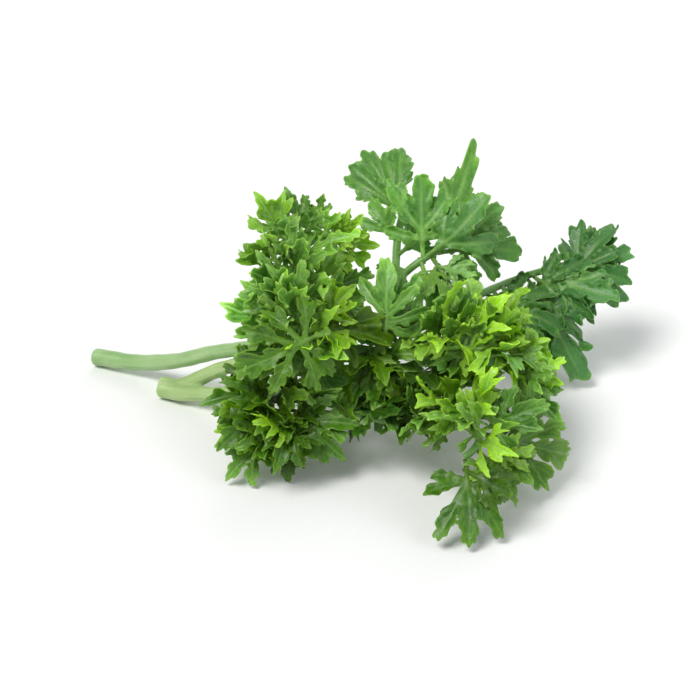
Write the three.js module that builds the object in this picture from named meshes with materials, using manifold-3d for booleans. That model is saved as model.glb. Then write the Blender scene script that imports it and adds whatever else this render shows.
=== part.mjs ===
// A small bunch of curly parsley lying on its side: two cut stems, the
// leafstalks that grow from them, and a lobed leaflet at every place where
// a leafstalk bears one.
// Millimetres, +Z up. The cut ends point towards -X and the leaves towards +X.
import * as THREE from "three";
import { mergeVertices } from "three/addons/utils/BufferGeometryUtils.js";
import Module from "manifold-3d";

const GAP = 0.3; // kept between pieces that touch
const BLADE_THICKNESS = 0.5;
const STALKLET_WIDTH = 1.1;
const STALKLET_SHARE = 0.26; // of a leaflet's length, before its lobes begin
const ARCH = 0.24; // how far a blade bulges towards its upper face, as a share of its length
const STEM_SIDES = 10;
const STEM_STEP = 3.5; // length of a stem's straight facets

const STEM_GREEN = 0x9bbb7f;
const STALK_GREEN = 0x8aaf66;
const LEAF_GREEN = 0x4f8a38;

// Centre lines from root to end, and the radius at each end of the line.
const STEMS = {
  stem_long: {
    radius: [1.8, 1.35],
    path: [
      [-55, 35.5, 1.8], [-46, 31, 3], [-37, 26, 6.3],
      [-28.5, 21.5, 11], [-19.5, 16, 15.5], [-10, 11, 20.5],
    ],
  },
  stem_forked: {
    radius: [1.9, 1.2],
    path: [[-40, 22.7, 1.9], [-34, 20.6, 4.2], [-28.5, 19.5, 7.5], [-23, 16, 11.5], [-18, 12, 15]],
    arm: [[-40, 20.9, 1.9], [-34, 18.6, 2.9], [-28, 15.2, 4.5], [-22.5, 11, 7.5], [-17, 6, 10]],
  },
  leafstalk_left: {
    radius: [1.1, 0.6],
    path: [
      [-17.4, 10.8, 15.6], [-13, 6, 19], [-9.5, 6, 25], [-10, 9.5, 30],
      [-11, 13, 36], [-8, 17.5, 39], [-5, 19.5, 39.5],
    ],
  },
  leafstalk_low: {
    radius: [1.0, 0.7],
    path: [[-15.8, 4.3, 10.6], [-14, 1, 12], [-13.5, -3, 11], [-12.5, -6, 8.5]],
  },
  leafstalk_under: {
    radius: [1.1, 0.8],
    path: [[-15, 6.6, 9.6], [-10, 5, 10.5], [-4.5, 3, 10], [4.5, 0.5, 8], [12, -2.5, 8], [18, -6.5, 10.5]],
  },
  leafstalk_centre: {
    radius: [1.3, 1.1],
    path: [[-8.4, 11, 20.9], [-3, 11, 19], [3, 10, 18], [8, 9, 18]],
  },
  leafstalk_back: {
    radius: [1.0, 0.8],
    path: [[5, 12.8, 19.5], [8, 20, 22.5], [9.5, 29, 26.5], [10, 35, 30.5], [11, 39.5, 34]],
  },
  leafstalk_back_branch: {
    radius: [0.8, 0.7],
    path: [[10.8, 26.5, 26.5], [14, 27.5, 29], [18.5, 28.5, 31.5]],
  },
  leafstalk_right: {
    radius: [1.0, 0.7],
    path: [[9.4, 8.5, 18.3], [15.5, 6.5, 20.5], [22, 3.5, 22.5], [28, 2.5, 22], [31, 0, 20]],
  },
  leafstalk_right_back: {
    radius: [0.9, 0.7],
    path: [[10, 12, 18.5], [16, 19, 19.5], [25, 28, 20], [36.5, 37, 20.5], [46.5, 42, 21]],
  },
  leafstalk_front: {
    radius: [0.8, 0.7],
    path: [[18.7, -7.8, 11.2], [23.5, -13.5, 14.5], [25.5, -18.5, 14.5], [22.5, -22.5, 13]],
  },
};

// A blade's lobes: degrees away from its midline, and length as a share of the middle lobe's.
const TREFOIL = [[-46, 0.8], [0, 1], [46, 0.8]];
const FAN = [[-80, 0.74], [-40, 0.92], [0, 1], [40, 0.92], [80, 0.74]];
const SPEAR = [[-76, 0.5], [-38, 0.7], [0, 1], [38, 0.7], [76, 0.5]];
const PALM = [[-126, 0.66], [-84, 0.84], [-42, 0.94], [0, 1], [42, 0.94], [84, 0.84], [126, 0.66]];

// A lobe's outline past its sinus, as [degrees from the lobe's midline, share of its length]:
// a narrow neck, a tooth, a notch and the tip, then the same again.
const LOBE_TEETH = [[-10, 0.42], [-16, 0.74], [-7, 0.7], [0, 1], [7, 0.7], [16, 0.74], [10, 0.42]];
const SINUS_SHARE = 0.34; // how far from the hub the cut between two lobes ends, as a share of theirs
const STALKLET_END = 0.8; // where the stalklet widens into the blade, as a share of its length

// Where a blade's upper face looks.
const FRONT = [0, -0.87, 0.5];
const FRONT_LEFT = [-0.5, -0.75, 0.43];
const FRONT_RIGHT = [0.5, -0.75, 0.43];
const UP_FRONT = [0, -0.6, 0.8];
const UP_LEFT = [-0.3, -0.4, 0.86];
const BACK = [0, 0.85, 0.52];

// Each leaflet: name, the leafstalk it grows from, how far along it, where the middle
// lobe's tip lies, where the upper face looks, and its lobes. The first ones keep their
// places, and each later one makes way for those before it.
const LEAFLETS = [
  ["low_1", "low", 1, [-12, -13, 0], FRONT, FAN],
  ["front_1", "front", 1, [23, -36, 1], FRONT, PALM],
  ["right_back_1", "right_back", 0.8, [47, 27, 1], FRONT_RIGHT, FAN],
  ["left_1", "left", 0.39, [-26, 5, 31], FRONT_LEFT, FAN],
  ["left_2", "left", 0.3, [-23, -4, 22], FRONT_LEFT, FAN],
  ["left_3", "left", 0.24, [-12, -10, 18], FRONT, FAN],
  ["left_4", "left", 0.42, [8, 1, 24], UP_FRONT, FAN],
  ["left_5", "left", 0.3, [1, -6, 20], FRONT_RIGHT, TREFOIL],
  ["top_1", "left", 0.8, [-19, 20, 50], FRONT_LEFT, FAN],
  ["top_2", "left", 0.87, [-13, 23, 49], FRONT, FAN],
  ["top_3", "left", 0.94, [-6, 25, 47], FRONT, FAN],
  ["top_4", "left", 1, [3, 21, 43], FRONT_RIGHT, FAN],
  ["top_5", "left", 0.97, [6, 22, 35], FRONT_RIGHT, FAN],
  ["left_6", "left", 0.7, [-23, 15, 38], FRONT_LEFT, TREFOIL],
  ["left_7", "left", 0.5, [-22, 8, 34], FRONT_LEFT, FAN],
  ["left_8", "left", 0.72, [-9, 12, 46], FRONT, TREFOIL],
  ["left_9", "left", 0.56, [5, 14, 34], FRONT, FAN],
  ["low_2", "low", 0.25, [-30, -2, 13], UP_LEFT, FAN],
  ["low_3", "low", 0.6, [-27, -13, 10], FRONT_LEFT, FAN],
  ["low_4", "low", 0.9, [-23, -12, 2], FRONT_LEFT, FAN],
  ["low_5", "low", 0.98, [-15, -18, 6], FRONT, FAN],
  ["low_6", "low", 0.9, [-5, -7, 4.5], FRONT_RIGHT, FAN],
  ["low_7", "low", 0.5, [-2, -11, 11], UP_FRONT, FAN],
  ["centre_1", "centre", 1, [8, 16, 33], FRONT, PALM],
  ["centre_2", "centre", 0.6, [9, -1, 14], FRONT, FAN],
  ["centre_3", "centre", 0.75, [7, 0, 5], FRONT, FAN],
  ["front_2", "front", 0.35, [11, -10, 16], FRONT_LEFT, FAN],
  ["front_3", "front", 0.5, [27, -14, 28], FRONT, TREFOIL],
  ["front_4", "front", 0.8, [33, -27, 5], FRONT_RIGHT, FAN],
  ["front_5", "front", 0.6, [45, -13, 7], FRONT_RIGHT, FAN],
  ["right_1", "right", 0.35, [20, 12, 28], FRONT, FAN],
  ["right_2", "right", 0.68, [26, 9, 32], FRONT_LEFT, FAN],
  ["right_3", "right", 0.85, [36, 10, 28], FRONT_RIGHT, FAN],
  ["right_4", "right", 0.6, [13, -1, 25], FRONT_LEFT, FAN],
  ["right_5", "right", 0.75, [16, -7, 18], FRONT_LEFT, FAN],
  ["right_6", "right", 0.97, [43, 6, 14], FRONT_RIGHT, FAN],
  ["right_7", "right", 1, [43, -6, 10], FRONT_RIGHT, FAN],
  ["right_8", "right", 0.15, [16, -3, 5], FRONT, FAN],
  ["back_1", "back", 1, [4, 50, 44], FRONT, FAN],
  ["back_2", "back_branch", 1, [27, 44, 48], FRONT, SPEAR],
  ["back_3", "back_branch", 0.9, [36, 32, 31], FRONT_RIGHT, FAN],
  ["back_4", "back_branch", 0.8, [23, 16, 25], FRONT, FAN],
  ["right_back_2", "right_back", 1, [60, 43, 23], FRONT, PALM],
  ["right_back_3", "right_back", 0.85, [55, 35, 12], FRONT_RIGHT, FAN],
  ["right_back_4", "right_back", 0.6, [38, 25, 10], FRONT, FAN],
  ["left_rear", "left", 0.5, [-16, 23, 27], BACK, FAN],
  ["centre_rear", "centre", 0.4, [-5, 27, 14], BACK, FAN],
  ["right_rear", "right", 0.55, [32, 18, 12], BACK, FAN],
  ["under_rear", "under", 0.35, [-3, 16, 1], BACK, FAN],
];

// A leaflet that would touch a neighbour is moved a little, in these steps.
const TURN_STEP = 5; // degrees about its base, in pitch and in roll
const TURN_COUNT = 7;
const LIFT_STEP = 0.6; // towards or away from the side its upper face looks at
const LIFT_COUNT = 3;
const SLIDE_STEP = 0.5; // outward along the leaflet
const SLIDE_COUNT = 4;

const wasm = await Module();
wasm.setup();

// Every move that may be tried, the smallest first.
function nudgeList() {
  const nudges = [];
  for (let slide = 0; slide <= SLIDE_COUNT; slide++) {
    for (let lift = -LIFT_COUNT; lift <= LIFT_COUNT; lift++) {
      for (let pitch = -TURN_COUNT; pitch <= TURN_COUNT; pitch++) {
        for (let roll = -TURN_COUNT; roll <= TURN_COUNT; roll++) {
          nudges.push({ slide, lift, pitch, roll, size: Math.hypot(slide, lift, pitch, roll) });
        }
      }
    }
  }
  return nudges.sort((a, b) => a.size - b.size);
}

function toSolid(geometry) {
  const bare = geometry.clone();
  bare.deleteAttribute("normal");
  bare.deleteAttribute("uv");
  const merged = mergeVertices(bare, 1e-4);
  const vertProperties = Float32Array.from(merged.attributes.position.array);
  const triVerts = Uint32Array.from(merged.index.array);
  return new wasm.Manifold(new wasm.Mesh({ numProp: 3, vertProperties, triVerts }));
}

function toGeometry(solid) {
  const mesh = solid.getMesh();
  const geometry = new THREE.BufferGeometry();
  geometry.setAttribute("position", new THREE.BufferAttribute(mesh.vertProperties, 3));
  geometry.setIndex(new THREE.BufferAttribute(mesh.triVerts, 1));
  geometry.computeVertexNormals();
  return geometry;
}

function centreLine(path) {
  return new THREE.CatmullRomCurve3(path.map((point) => new THREE.Vector3(...point)));
}

// A round bar that follows its centre line and tapers evenly to its end.
function stemBar(path, [startRadius, endRadius], padding) {
  const line = centreLine(path);
  const steps = Math.ceil(line.getLength() / STEM_STEP);
  const frames = line.computeFrenetFrames(steps);
  const bar = new THREE.CylinderGeometry(endRadius + padding, startRadius + padding, 1, STEM_SIDES, steps);
  const position = bar.attributes.position;
  for (let i = 0; i < position.count; i++) {
    const share = position.getY(i) + 0.5;
    const ring = Math.round(share * steps);
    const point = line.getPointAt(share);
    point.addScaledVector(frames.binormals[ring], position.getX(i));
    point.addScaledVector(frames.normals[ring], position.getZ(i));
    position.setXYZ(i, point.x, point.y, point.z);
  }
  return bar;
}

function stemGeometry({ path, arm, radius }, padding = 0) {
  const bar = toSolid(stemBar(path, radius, padding));
  return toGeometry(arm ? bar.add(toSolid(stemBar(arm, radius, padding))) : bar);
}

function aroundHub(hub, degrees, distance) {
  const turn = THREE.MathUtils.degToRad(degrees);
  return new THREE.Vector2(hub + distance * Math.cos(turn), distance * Math.sin(turn));
}

// A flat leaflet: a narrow stalklet along +X, then its toothed lobes around a hub.
function leafletShape(length, lobes) {
  const hub = STALKLET_SHARE * length;
  const reach = length - hub;
  const half = STALKLET_WIDTH / 2;
  const outline = [new THREE.Vector2(0, -half), new THREE.Vector2(hub * STALKLET_END, -half)];
  lobes.forEach(([angle, share], i) => {
    for (const [offset, along] of LOBE_TEETH) {
      outline.push(aroundHub(hub, angle + offset, reach * share * along));
    }
    if (i < lobes.length - 1) {
      const [nextAngle, nextShare] = lobes[i + 1];
      const sinus = (reach * SINUS_SHARE * (share + nextShare)) / 2;
      outline.push(aroundHub(hub, (angle + nextAngle) / 2, sinus));
    }
  });
  outline.push(new THREE.Vector2(hub * STALKLET_END, half), new THREE.Vector2(0, half));
  return new THREE.Shape(outline);
}

// The blade arches over its hub, so that its base and its middle tip stay on the X axis.
function leafletGeometry(length, lobes, padding = 0) {
  const depth = BLADE_THICKNESS + 2 * padding;
  const blade = new THREE.ExtrudeGeometry(leafletShape(length, lobes), { depth, bevelEnabled: false });
  const hub = STALKLET_SHARE * length;
  const reach = length - hub;
  const curve = (ARCH * length) / reach ** 2;
  const slope = (curve * (reach ** 2 - hub ** 2)) / length;
  const position = blade.attributes.position;
  for (let i = 0; i < position.count; i++) {
    const x = position.getX(i);
    const fromHub = Math.hypot(x - hub, position.getY(i));
    const lift = curve * (hub ** 2 - fromHub ** 2) + slope * x;
    position.setZ(i, position.getZ(i) - depth / 2 + lift);
  }
  blade.computeVertexNormals();
  return blade;
}

// Where a leaflet sits: its base just off the leafstalk's side or end, its X axis towards
// the tip, and its Z axis towards the side that its upper face looks at.
function leafletFrame(stem, at, tip, facing) {
  const root = centreLine(stem.path).getPointAt(at);
  const radius = THREE.MathUtils.lerp(...stem.radius, at);
  const outward = new THREE.Vector3(...tip).sub(root);
  const clear = (at < 1 ? radius : 0) + STALKLET_WIDTH / 2 + GAP;
  const length = outward.length() - clear;
  const x = outward.normalize();
  const y = new THREE.Vector3(...facing).cross(x).normalize();
  const z = new THREE.Vector3().crossVectors(x, y);
  const turn = new THREE.Quaternion().setFromRotationMatrix(new THREE.Matrix4().makeBasis(x, y, z));
  return { base: root.addScaledVector(x, clear), turn, length };
}

function placedMatrix({ base, turn }, { slide, lift, pitch, roll }) {
  const step = THREE.MathUtils.degToRad(TURN_STEP);
  const swing = new THREE.Quaternion().setFromEuler(new THREE.Euler(roll * step, pitch * step, 0, "YXZ"));
  const shift = new THREE.Vector3(slide * SLIDE_STEP, 0, lift * LIFT_STEP);
  const nudged = turn.clone().multiply(swing);
  const position = shift.applyQuaternion(turn).add(base);
  return new THREE.Matrix4().compose(position, nudged, new THREE.Vector3(1, 1, 1));
}

function roomOf(geometry) {
  geometry.computeBoundingBox();
  return { box: geometry.boundingBox, solid: toSolid(geometry) };
}

function isClear(room) {
  const near = taken.filter((other) => other.box.intersectsBox(room.box));
  return near.every((other) => other.solid.intersect(room.solid).isEmpty());
}

// The first small turn that leaves the leaflet clear of all the pieces already placed.
function settle(name, frame, lobes) {
  const padded = leafletGeometry(frame.length, lobes, GAP);
  for (const nudge of NUDGES) {
    const matrix = placedMatrix(frame, nudge);
    const room = roomOf(padded.clone().applyMatrix4(matrix));
    if (isClear(room)) {
      taken.push(room);
      return matrix;
    }
  }
  throw new Error(`no room for ${name}`);
}

function namedMesh(name, geometry, color) {
  const material = new THREE.MeshStandardMaterial({ color, roughness: 0.5, metalness: 0 });
  const mesh = new THREE.Mesh(geometry, material);
  mesh.name = name;
  return mesh;
}

const NUDGES = nudgeList();
const bunch = new THREE.Group();
const taken = []; // the room of every piece already placed, with its gap

for (const [name, stem] of Object.entries(STEMS)) {
  const color = name.startsWith("stem") ? STEM_GREEN : STALK_GREEN;
  bunch.add(namedMesh(name, stemGeometry(stem), color));
  taken.push(roomOf(stemGeometry(stem, GAP)));
}

for (const [name, stalk, at, tip, facing, lobes] of LEAFLETS) {
  const frame = leafletFrame(STEMS[`leafstalk_${stalk}`], at, tip, facing);
  const leaflet = namedMesh(`leaflet_${name}`, leafletGeometry(frame.length, lobes), LEAF_GREEN);
  settle(leaflet.name, frame, lobes).decompose(leaflet.position, leaflet.quaternion, leaflet.scale);
  bunch.add(leaflet);
}

// The origin goes under the middle of the bunch, on the surface it lies on.
const extent = new THREE.Box3().setFromObject(bunch, true);
const middle = extent.getCenter(new THREE.Vector3());
bunch.position.set(-middle.x, -middle.y, -extent.min.z);

export default bunch;
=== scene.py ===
import math

import bpy
import numpy as np
from mathutils import Matrix, Vector


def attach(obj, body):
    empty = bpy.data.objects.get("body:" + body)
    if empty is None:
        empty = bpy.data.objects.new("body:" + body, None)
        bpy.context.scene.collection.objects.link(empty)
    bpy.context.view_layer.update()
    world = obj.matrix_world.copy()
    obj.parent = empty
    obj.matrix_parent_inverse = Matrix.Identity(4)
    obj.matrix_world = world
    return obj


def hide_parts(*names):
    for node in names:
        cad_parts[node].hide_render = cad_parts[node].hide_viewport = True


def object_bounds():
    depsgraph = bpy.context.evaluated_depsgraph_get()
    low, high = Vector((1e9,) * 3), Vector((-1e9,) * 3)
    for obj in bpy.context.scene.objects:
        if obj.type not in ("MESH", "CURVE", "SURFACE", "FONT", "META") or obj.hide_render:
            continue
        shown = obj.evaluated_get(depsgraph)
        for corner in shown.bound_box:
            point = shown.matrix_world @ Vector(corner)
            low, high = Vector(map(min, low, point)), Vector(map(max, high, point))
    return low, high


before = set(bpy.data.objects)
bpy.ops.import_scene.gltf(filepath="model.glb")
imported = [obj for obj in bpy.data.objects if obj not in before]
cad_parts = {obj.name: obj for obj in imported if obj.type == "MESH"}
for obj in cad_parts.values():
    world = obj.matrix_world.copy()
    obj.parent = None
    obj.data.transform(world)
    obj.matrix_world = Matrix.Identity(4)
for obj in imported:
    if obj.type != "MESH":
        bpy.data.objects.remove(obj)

CAD_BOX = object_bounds()
MM = 0.001

# What the solids of the frame are made like, in millimetres
STEM_SIDES = 10
BLADE_SOLID = 0.5  # thickness of a leaflet's solid
STALKLET_SOLID = 1.1  # width of its stalklet
LOBES_OF_SOLID = {54: 3, 86: 5, 118: 7}  # corner points of a leaflet's solid, and its lobes
STALKLET_SHARE = 0.26  # the stalklet's share of a leaflet's length, up to the hub of its lobes
ARCH = 0.24  # how deep a leaflet's dome is from its hub to its tips, as a share of its length

# A leaf blade's mesh, in millimetres
GRID = 0.28  # between two mesh points
BLADE = 0.26  # thickness
THIN_EDGE = 0.4  # the edge's share of that thickness
EDGE_TAPER = 0.5  # how far in from its edge a blade has its full thickness
STALKLET_RADIUS = 0.5
STALKLET_ROOT = 0.5  # how far a stalklet reaches back into its stalk

# A flat leaflet, in shares of its length
VEIN_STEPS = 7
EDGE_BLEND = 0.004  # how softly two strips of blade join
SHEET_MARGIN = 0.09  # room round the veins for the blade
SNAP = 0.36  # mesh points nearer the outline than this share of a step are moved onto it
SCALLOPS_START = (0.2, 0.45)  # how far from the hub the scallops begin, and are at their full depth

# The leafstalk of each set of leaflets
STALK_OF = {
    "top": "leafstalk_left",
    "left": "leafstalk_left",
    "low": "leafstalk_low",
    "under": "leafstalk_under",
    "centre": "leafstalk_centre",
    "right": "leafstalk_right",
    "back": "leafstalk_back_branch",
    "right_back": "leafstalk_right_back",
    "front": "leafstalk_front",
}

# Half width of the blade along a vein: (share of the way along it, share of its length)
LOBE_WIDTHS = [(0, 0.085), (0.3, 0.07), (0.5, 0.085), (0.72, 0.115), (0.9, 0.085), (1, 0.03)]
TOOTH_WIDTHS = [(0, 0.15), (0.35, 0.22), (0.64, 0.25), (0.87, 0.165), (1, 0.05)]
FRILLED_LOBE_WIDTHS = [(0, 0.08), (0.3, 0.1), (0.6, 0.16), (0.85, 0.2), (1, 0.12)]
SPEAR_WIDTHS = [(0, 0.15), (0.3, 0.15), (0.6, 0.11), (0.85, 0.09), (1, 0.07)]
FRILLED_TOOTH_WIDTHS = [(0, 0.3), (0.5, 0.36), (0.8, 0.34), (1, 0.24)]

# A leaflet's side lobes: where each pair leaves the midrib, its angle in degrees, and its length
LOBE_PAIRS = {
    3: [(0.3, 48, 0.56)],
    5: [(0.26, 80, 0.5), (0.34, 43, 0.6)],
    7: [(0.25, 126, 0.42), (0.27, 84, 0.54), (0.34, 43, 0.62)],
    "fan": [(0.08, 27, 0.84), (0.08, 14, 0.9)],
    "spear": [(0.26, 74, 0.42), (0.3, 36, 0.5)],
    "round": [(0.22, 150, 0.56), (0.24, 112, 0.66), (0.26, 75, 0.7), (0.28, 37, 0.72)],
    "long": [(0.25, 116, 0.42), (0.27, 78, 0.54), (0.31, 38, 0.64)],
}
# A lobe's teeth: where each pair leaves its vein, its angle, and its length, as shares of the lobe's
TOOTH_PAIRS = [(0.42, 33, 0.42)]
SMALL_TOOTH_PAIRS = [(0.33, 38, 0.28), (0.53, 33, 0.33), (0.76, 27, 0.23)]
FRILLED_TOOTH_PAIRS = [(0.32, 58, 0.22), (0.5, 52, 0.25), (0.7, 44, 0.25), (0.86, 20, 0.2)]


# ---------------------------------------------------------------- the frame's solids

EVEN_REACH = 0.02  # how evenly a flat end's ring lies round its middle
CORNER_SLACK = 1.05  # corners of a stalklet's end lie within this share of its diagonal
SAME_DIAGONAL = 0.01  # how closely the widest of them has to match it


def solid_points(node):
    """A solid's corner points in millimetres, each once, and its triangles."""
    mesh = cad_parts[node].data
    raw = np.empty(len(mesh.vertices) * 3)
    mesh.vertices.foreach_get("co", raw)
    points, index = np.unique(raw.reshape(-1, 3).round(7), axis=0, return_inverse=True)
    corners = np.empty(len(mesh.loops), int)
    mesh.loops.foreach_get("vertex_index", corners)
    return points / MM, index.reshape(-1)[corners].reshape(-1, 3)


def stem_rings(node):
    """The centre and radius of each ring of a stem's solid, one list for each free end."""
    points, triangles = solid_points(node)
    near = [set() for _ in points]
    for corners in triangles:
        for a, b in ((0, 1), (1, 2), (2, 0)):
            near[corners[a]].add(corners[b])
            near[corners[b]].add(corners[a])
    caps = [i for i in range(len(points)) if len(near[i]) == STEM_SIDES and flat_cap(points, near, i)]
    lines = []
    for cap in caps:
        rings = []
        seen = {cap}
        ring = near[cap]
        while len(ring) == STEM_SIDES:
            corners = points[list(ring)]
            centre = corners.mean(0)
            rings.append((centre, np.linalg.norm(corners - centre, axis=1).mean()))
            seen |= ring
            ring = {j for i in ring for j in near[i]} - seen
        lines.append(rings)
    return lines


def flat_cap(points, near, i):
    """Whether a point is the middle of a stem's flat end."""
    around = points[list(near[i])]
    reach = np.linalg.norm(around - points[i], axis=1)
    return reach.std() < EVEN_REACH * reach.mean()


def stalklet_end(points, stalk_line):
    """The middle of the four corners where a leaflet's stalklet meets its leafstalk."""
    gap = np.linalg.norm(points[:, None] - stalk_line[None], axis=2).min(1)
    apart = np.linalg.norm(points[:, None] - points[None], axis=2)
    diagonal = math.hypot(STALKLET_SOLID, BLADE_SOLID)
    ends = []
    for row in apart:
        corners = np.flatnonzero(row < CORNER_SLACK * diagonal)
        if len(corners) == 4 and abs(apart[np.ix_(corners, corners)].max() / diagonal - 1) < SAME_DIAGONAL:
            ends.append(corners)
    return points[min(ends, key=lambda corners: gap[corners].mean())].mean(0)


def leaflet_lie(node, stalk_line):
    """Where a leaflet's solid sits: its base, its length, and its own X, Y and Z as rows."""
    points, _ = solid_points(node)
    base = stalklet_end(points, stalk_line)
    away = np.linalg.norm(points - base, axis=1)
    length = away.max()
    x_axis = points[away > length - BLADE_SOLID].mean(0) - base
    x_axis /= np.linalg.norm(x_axis)
    flat = points - base
    flat -= np.outer(flat @ x_axis, x_axis)
    y_axis = np.linalg.eigh(flat.T @ flat)[1][:, 2]
    z_axis = np.cross(x_axis, y_axis)
    if (flat @ z_axis).mean() < 0:
        y_axis, z_axis = -y_axis, -z_axis
    return base, length, np.array([x_axis, y_axis, z_axis])


# ---------------------------------------------------------------- meshes

def new_piece(name, points, triangles, slots, materials, marks):
    """A smooth mesh object from points in millimetres; marks are its values for the materials."""
    mesh = bpy.data.meshes.new(name)
    mesh.vertices.add(len(points))
    mesh.vertices.foreach_set("co", (points * MM).ravel())
    mesh.loops.add(triangles.size)
    mesh.loops.foreach_set("vertex_index", triangles.ravel())
    mesh.polygons.add(len(triangles))
    mesh.polygons.foreach_set("loop_start", np.arange(len(triangles)) * 3)
    mesh.polygons.foreach_set("material_index", slots)
    mesh.polygons.foreach_set("use_smooth", np.ones(len(triangles), bool))
    for material in materials:
        mesh.materials.append(material)
    for mark, values in marks.items():
        kind, field = ("FLOAT_VECTOR", "vector") if values.ndim == 2 else ("FLOAT", "value")
        attribute = mesh.attributes.new(mark, kind, "POINT")
        attribute.data.foreach_set(field, values.astype(np.float32).ravel())
    mesh.update(calc_edges=True)
    mesh.validate()
    piece = bpy.data.objects.new(name, mesh)
    bpy.context.scene.collection.objects.link(piece)
    return piece


def smoothstep(low, high, values):
    """0 at low and 1 at high, with an easy start and end."""
    share = np.clip((values - low) / (high - low), 0, 1)
    return share * share * (3 - 2 * share)


def unit(vectors):
    """Vectors made one long."""
    return vectors / np.maximum(np.linalg.norm(vectors, axis=-1, keepdims=True), 1e-12)


def sheet_normals(points, triangles):
    """The direction that a sheet faces at each of its points."""
    a, b, c = (points[triangles[:, k]] for k in range(3))
    facing = np.cross(b - a, c - a)
    normals = np.zeros_like(points)
    for k in range(3):
        np.add.at(normals, triangles[:, k], facing)
    return unit(normals)


def thick_sheet(points, triangles, half):
    """A sheet made solid: its points above and below, its triangles, and which are underneath."""
    normals = sheet_normals(points, triangles)
    count = len(points)
    solid = np.vstack([points + normals * half[:, None], points - normals * half[:, None]])
    edges = np.vstack([triangles[:, [0, 1]], triangles[:, [1, 2]], triangles[:, [2, 0]]])
    codes = edges[:, 0] * count + edges[:, 1]
    lone = ~np.isin(codes, edges[:, 1] * count + edges[:, 0])
    a, b = edges[lone].T
    rim = np.vstack([np.stack([b, a, a + count], 1), np.stack([b, a + count, b + count], 1)])
    below = triangles[:, ::-1] + count
    slots = np.repeat([0, 1], [len(triangles), len(below) + len(rim)])
    return solid, np.vstack([triangles, below, rim]), slots


def joined(parts):
    """The points, faces and marks of several parts as one."""
    starts = np.cumsum([0] + [len(points) for points, _, _ in parts[:-1]])
    points = np.vstack([points for points, _, _ in parts])
    faces = np.vstack([faces + start for (_, faces, _), start in zip(parts, starts)])
    marks = {mark: np.concatenate([marks[mark] for _, _, marks in parts]) for mark in parts[0][2]}
    return points, faces, marks


# ---------------------------------------------------------------- a leaflet, flat

# How much the parts of like blades differ: factors, then shares of a length, then degrees
STOUTNESS = (0.85, 1.12)
LOBE_SIZES = (0.8, 1.15)
TOOTH_SIZES = (0.7, 1.25)
LOBE_SHIFT = 0.015
TOOTH_SHIFT = 0.06
LOBE_SWING = 5
TOOTH_SWING = 6
# How far the midrib strays and bends, in radians
MIDRIB_SWING = 0.05
MIDRIB_BEND = 0.15
# How a vein turns back towards the tip, as a share of the angle at which it leaves
LOBE_BEND = -0.25
TOOTH_BEND = -0.4
FEW_TEETH = 0.45  # the chance that a lobe has one pair of large teeth
FEW_TEETH_OF_PALM = 0.1  # the same on a blade of seven lobes


class Vein:
    """One vein of a flat leaflet, with the strip of blade that follows it."""

    def __init__(self, start, heading, length, bend, widths, lobe=0):
        self.steps = np.linspace(0, 1, VEIN_STEPS)
        self.turns = heading + bend * self.steps
        moves = np.stack([np.cos(self.turns), np.sin(self.turns)], 1) * length / (VEIN_STEPS - 1)
        self.line = start + np.vstack([[0, 0], np.cumsum(moves[:-1], 0)])
        self.half = np.interp(self.steps, *zip(*widths)) * length
        self.length = length
        self.lobe = lobe

    def at(self, share):
        """The point at a share of the vein's length, and its heading there."""
        point = np.array([np.interp(share, self.steps, self.line[:, k]) for k in (0, 1)])
        return point, np.interp(share, self.steps, self.turns)

    def away(self, points):
        """Each point's distance from the vein, and from the edge of its strip (less than 0 inside)."""
        nearest = np.full(len(points), np.inf)
        edge = np.full(len(points), np.inf)
        for a, b, half_a, half_b in zip(self.line, self.line[1:], self.half, self.half[1:]):
            along = b - a
            share = np.clip((points - a) @ along / (along @ along), 0, 1)
            gap = np.linalg.norm(points - a - share[:, None] * along, axis=1)
            nearest = np.minimum(nearest, gap)
            edge = np.minimum(edge, gap - half_a - share * (half_b - half_a))
        return nearest, edge


def draw_veins(lobes, spread, look, rng):
    """A leaflet's lobe veins and tooth veins, for a leaflet one unit long."""
    frilled = look["frilled"]
    lobe_widths = FRILLED_LOBE_WIDTHS if frilled else LOBE_WIDTHS
    tooth_widths = FRILLED_TOOTH_WIDTHS if frilled else TOOTH_WIDTHS
    stout = look["web"] * rng.uniform(*STOUTNESS)
    lobe_widths = [(share, half * stout) for share, half in lobe_widths]
    base = np.array([STALKLET_SHARE, 0])
    tip_widths = SPEAR_WIDTHS if lobes == "spear" else lobe_widths
    swing = rng.normal(0, MIDRIB_SWING)
    lobe_veins = [Vein(base, swing, 1 - STALKLET_SHARE, rng.normal(0, MIDRIB_BEND), tip_widths)]
    for share, angle, length in LOBE_PAIRS[lobes]:
        for side in (-1, 1):
            start = np.array([share + rng.uniform(-LOBE_SHIFT, LOBE_SHIFT), 0])
            turn = side * math.radians(angle + rng.normal(0, LOBE_SWING))
            size = length * spread * rng.uniform(*LOBE_SIZES)
            lobe_veins.append(Vein(start, turn, size, LOBE_BEND * turn, lobe_widths, len(lobe_veins)))
    tooth_veins = []
    few_teeth = FEW_TEETH_OF_PALM if lobes == 7 else FEW_TEETH
    for vein in lobe_veins[1 if lobes == "spear" else 0:]:
        plain_teeth = TOOTH_PAIRS if rng.uniform() < few_teeth else SMALL_TOOTH_PAIRS
        for share, angle, length in FRILLED_TOOTH_PAIRS if frilled else plain_teeth:
            for side in (-1, 1):
                start, heading = vein.at(share + rng.uniform(-TOOTH_SHIFT, TOOTH_SHIFT))
                turn = side * math.radians(angle + rng.normal(0, TOOTH_SWING))
                size = vein.length * length * rng.uniform(*TOOTH_SIZES)
                bend = TOOTH_BEND * turn
                tooth_veins.append(Vein(start, heading + turn, size, bend, tooth_widths, vein.lobe))
    return lobe_veins, tooth_veins


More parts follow.
